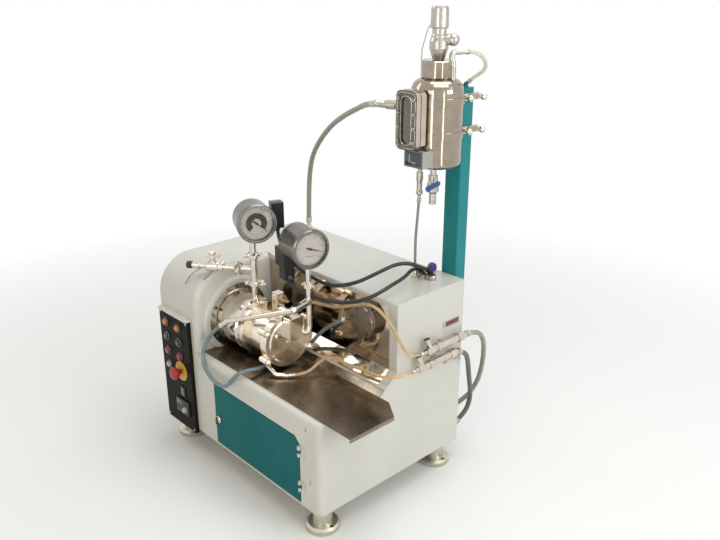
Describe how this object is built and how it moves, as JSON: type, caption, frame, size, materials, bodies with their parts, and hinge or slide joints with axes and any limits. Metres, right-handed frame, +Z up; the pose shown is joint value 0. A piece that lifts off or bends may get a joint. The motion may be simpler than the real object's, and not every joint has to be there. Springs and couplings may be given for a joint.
{
  "type": "laboratory bead mill",
  "caption": "Bench bead mill with a horizontal jacketed grinding chamber, drip tray, seal tank on a column, gauges, control panel and a hinged service door.",
  "frame": {"origin": "on the floor under the middle of the cabinet, at the centre of the four feet", "axes": "+Z up, -Y towards the door and the control panel, +X towards the chamber's end cover and the tray's chute"},
  "size_m": [0.801, 0.6839, 1.268],
  "materials": {
    "cabinet_paint": "satin powder coat",
    "teal_paint": "satin powder coat",
    "stainless": "satin brushed",
    "polished_steel": "polished",
    "mirror_sheet": "mirror polished sheet",
    "panel_sheet": "brushed",
    "dark_steel": "oiled",
    "motor_paint": "semi-gloss",
    "bearing_steel": "ground",
    "screen_steel": "fine ground",
    "disc_ceramic": "smooth",
    "black_plastic": "fine grain",
    "lamp_plastic": "glossy lens",
    "green_button": "glossy",
    "red_button": "glossy",
    "pale_plastic": "satin",
    "blue_plastic": "glossy",
    "violet_plastic": "glossy",
    "rubber_black": "matt",
    "hose_blue": "translucent wall",
    "hose_yellow": "translucent wall",
    "hose_grey": "smooth",
    "hose_braid": "woven wire",
    "hose_clear": "clear wall",
    "window_glass": "clear"
  },
  "bodies": {
    "machine": {"levelling_feet": "stainless", "base_pan": "cabinet_paint", "front_panel": "cabinet_paint", "end_panel": "cabinet_paint", "rear_panel": "cabinet_paint", "tower_hood": "cabinet_paint", "tower_end_cover": "cabinet_paint", "rear_box_cover": "cabinet_paint", "alcove_liner": "mirror_sheet", "drip_tray": "stainless", "door_hinges": "polished_steel", "control_panel": "panel_sheet", "panel_fittings": "lamp_plastic", "motor_housing": "motor_paint", "drive_belt": "rubber_black", "bearing_housing": "stainless", "separator_housing": "polished_steel", "separator_screen": "screen_steel", "chamber_jacket": "polished_steel", "chamber_liner": "disc_ceramic", "end_cover": "polished_steel", "inlet_pipework": "polished_steel", "fill_port": "polished_steel", "outlet_pipework": "polished_steel", "pipe_clamps": "polished_steel", "gauge_cases": "stainless", "instrument_windows": "window_glass", "instrument_boxes": "black_plastic", "pump_head": "stainless", "column": "teal_paint", "seal_tank": "polished_steel", "sight_glass_frame": "polished_steel", "tank_clamps": "polished_steel", "tank_fittings": "polished_steel", "water_pipes": "polished_steel", "tank_supply_hose": "hose_braid", "tank_return_hose": "hose_braid", "clear_hose": "hose_clear", "gauge_cable_front": "rubber_black", "gauge_cable_rear": "rubber_black", "product_hose": "hose_blue", "lower_water_tube": "hose_yellow", "upper_water_tube": "hose_yellow", "water_hose_outer": "hose_grey", "water_hose_inner": "hose_grey"},
    "spindle": {"spindle_shaft": "bearing_steel", "spindle_pulley": "dark_steel", "agitator_discs": "disc_ceramic"},
    "motor_shaft": {"motor_rotor": "dark_steel"},
    "door": {"service_door": "teal_paint"},
    "latch": {"door_latch": "polished_steel"},
    "start": {"start_button": "green_button"},
    "stop": {"stop_button": "red_button"},
    "emergency_stop": {"estop_button": "red_button"},
    "speed_dial": {"speed_knob": "pale_plastic"},
    "sample_valve_handle": {"sampling_handle": "black_plastic"},
    "outlet_needle": {"outlet_gauge_needle": "black_plastic"},
    "inlet_needle": {"inlet_gauge_needle": "black_plastic"},
    "drain_handle": {"drain_lever": "blue_plastic"},
    "regulator": {"regulator_knob": "violet_plastic"}
  },
  "joints": [
    {"name": "spindle_spin", "type": "hinge", "parent": "machine", "child": "spindle", "pos_m": [-0.355, -0.124, 0.418], "axis": [1, 0, 0], "continuous": true},
    {"name": "motor_spin", "type": "hinge", "parent": "machine", "child": "motor_shaft", "pos_m": [-0.355, -0.124, 0.176], "axis": [1, 0, 0], "continuous": true},
    {"name": "door_hinge", "type": "hinge", "parent": "machine", "child": "door", "pos_m": [0.281, -0.264, 0.08], "axis": [0, 0, 1], "range_deg": [0, 110]},
    {"name": "door_latch_turn", "type": "hinge", "parent": "door", "child": "latch", "pos_m": [-0.081, -0.26, 0.16], "axis": [0, 1, 0], "range_deg": [0, 90]},
    {"name": "start_push", "type": "slide", "parent": "machine", "child": "start", "axis": [0, 1, 0], "range_m": [0, 0.004], "stiffness_N_per_m": 600, "springref_m": -0.001},
    {"name": "stop_push", "type": "slide", "parent": "machine", "child": "stop", "axis": [0, 1, 0], "range_m": [0, 0.004], "stiffness_N_per_m": 600, "springref_m": -0.001},
    {"name": "emergency_stop_push", "type": "slide", "parent": "machine", "child": "emergency_stop", "axis": [0, 1, 0], "range_m": [0, 0.005], "stiffness_N_per_m": 900, "springref_m": -0.001},
    {"name": "speed_dial_turn", "type": "hinge", "parent": "machine", "child": "speed_dial", "pos_m": [-0.237, -0.271, 0.129], "axis": [0, -1, 0], "range_deg": [-135, 135]},
    {"name": "sample_valve_turn", "type": "hinge", "parent": "machine", "child": "sample_valve_handle", "pos_m": [-0.16546, -0.19336, 0.583], "axis": [0, 0, 1], "range_deg": [0, 90]},
    {"name": "outlet_needle_turn", "type": "hinge", "parent": "machine", "child": "outlet_needle", "pos_m": [-0.08013, -0.1197, 0.732], "axis": [0.9205, -0.3907, 0], "range_deg": [0, 260], "stiffness_Nm_per_rad": 0.00002},
    {"name": "inlet_needle_turn", "type": "hinge", "parent": "machine", "child": "inlet_needle", "pos_m": [0.03762, -0.06462, 0.681], "axis": [0.9781, -0.2079, 0], "range_deg": [0, 260], "stiffness_Nm_per_rad": 0.00002},
    {"name": "drain_lever_turn", "type": "hinge", "parent": "machine", "child": "drain_handle", "pos_m": [0.296, 0.186, 0.826], "axis": [0, 1, 0], "range_deg": [-58, 32]},
    {"name": "regulator_turn", "type": "hinge", "parent": "machine", "child": "regulator", "pos_m": [0.252, 0.245, 0.572], "axis": [0, 0, 1], "range_deg": [-300, 300]}
  ],
  "couplings": [
    {"joint": "motor_spin", "follows": "spindle_spin", "ratio": 0.80357}
  ]
}
